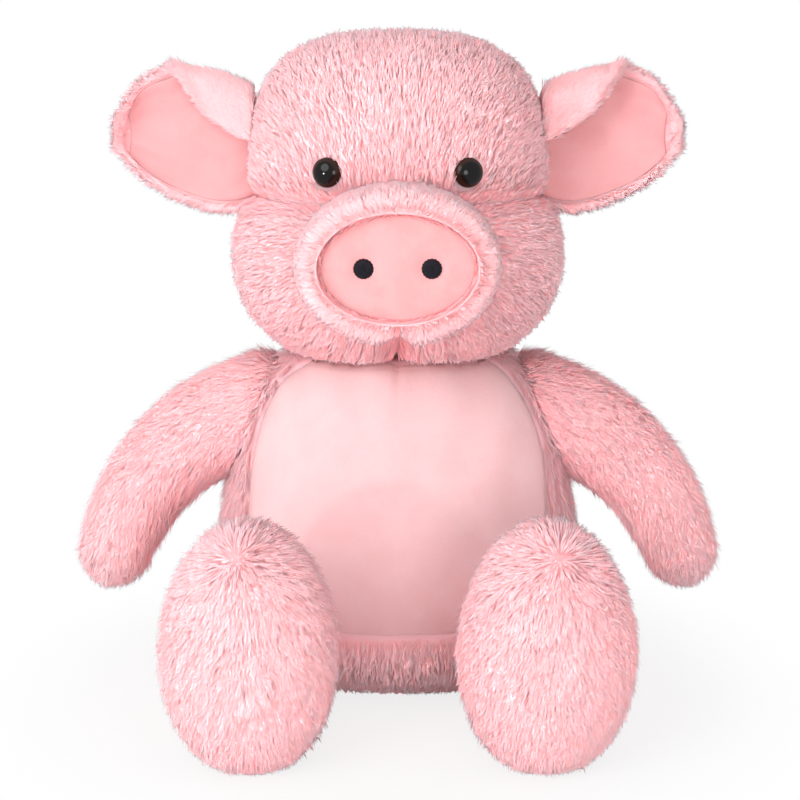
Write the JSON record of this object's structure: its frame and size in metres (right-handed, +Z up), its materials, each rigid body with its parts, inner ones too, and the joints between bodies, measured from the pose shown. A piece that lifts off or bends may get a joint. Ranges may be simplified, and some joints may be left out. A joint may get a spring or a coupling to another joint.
{
  "type": "plush pig",
  "caption": "Seated plush pig of pale pink fur with a smooth belly panel, oval snout, glossy dome eyes, folded ears, hanging arms and upright feet.",
  "frame": {"origin": "on the floor, under the middle of the toy's outer box", "axes": "+Z up, -Y where the toy faces, +X its own left"},
  "size_m": [0.2786, 0.2296, 0.2824],
  "materials": {
    "fur": "matte",
    "short_plush": "matte",
    "fibre_filling": "matte",
    "calico": "matte",
    "thread": "satin",
    "eye": "gloss",
    "washer": "matte"
  },
  "bodies": {
    "body": {"body_casing": "fur", "belly_panel": "short_plush", "body_stuffing": "fibre_filling", "seat_pellet_bag": "calico"},
    "head": {"head_casing": "fur", "muzzle_ring": "fur", "snout_disc": "short_plush", "nostril_left": "thread", "nostril_right": "thread", "eye_left": "eye", "eye_right": "eye", "eye_washer_left": "washer", "eye_washer_right": "washer", "head_stuffing": "fibre_filling"},
    "ear_left": {"ear_back_left": "fur", "ear_lining_left": "short_plush"},
    "arm_left": {"arm_casing_left": "fur", "arm_stuffing_left": "fibre_filling"},
    "leg_left": {"leg_casing_left": "fur", "foot_sole_left": "fur", "leg_stuffing_left": "fibre_filling"},
    "ear_right": {"ear_back_right": "fur", "ear_lining_right": "short_plush"},
    "arm_right": {"arm_casing_right": "fur", "arm_stuffing_right": "fibre_filling"},
    "leg_right": {"leg_casing_right": "fur", "foot_sole_right": "fur", "leg_stuffing_right": "fibre_filling"},
    "tail": {"tail": "fur"}
  },
  "joints": [
    {"name": "neck", "type": "hinge", "parent": "body", "child": "head", "pos_m": [0, 0.02715, 0.146], "axis": [0, 0, 1], "range_deg": [-20, 20], "stiffness_Nm_per_rad": 0.4},
    {"name": "ear_left", "type": "hinge", "parent": "head", "child": "ear_left", "pos_m": [0.06031, 0.02215, 0.2314], "axis": [0, 0, -1], "range_deg": [-20, 20], "stiffness_Nm_per_rad": 0.03},
    {"name": "ear_right", "type": "hinge", "parent": "head", "child": "ear_right", "pos_m": [-0.06031, 0.02215, 0.2314], "axis": [0, 0, 1], "range_deg": [-20, 20], "stiffness_Nm_per_rad": 0.03},
    {"name": "shoulder_left", "type": "hinge", "parent": "body", "child": "arm_left", "pos_m": [0.05767, 0.02715, 0.12], "axis": [0, -1, 0], "range_deg": [-8, 45], "stiffness_Nm_per_rad": 0.15, "springref_deg": 3.44},
    {"name": "shoulder_right", "type": "hinge", "parent": "body", "child": "arm_right", "pos_m": [-0.05767, 0.02715, 0.12], "axis": [0, 1, 0], "range_deg": [-8, 45], "stiffness_Nm_per_rad": 0.15, "springref_deg": 3.44},
    {"name": "hip_left", "type": "hinge", "parent": "body", "child": "leg_left", "pos_m": [0.05, -0.01885, 0.031], "axis": [0, 0, 1], "range_deg": [-8, 35], "stiffness_Nm_per_rad": 0.3},
    {"name": "hip_right", "type": "hinge", "parent": "body", "child": "leg_right", "pos_m": [-0.05, -0.01885, 0.031], "axis": [0, 0, -1], "range_deg": [-8, 35], "stiffness_Nm_per_rad": 0.3},
    {"name": "tail", "type": "hinge", "parent": "body", "child": "tail", "pos_m": [0, 0.08615, 0.05], "axis": [0, 0, 1], "range_deg": [-20, 20], "stiffness_Nm_per_rad": 0.01}
  ]
}
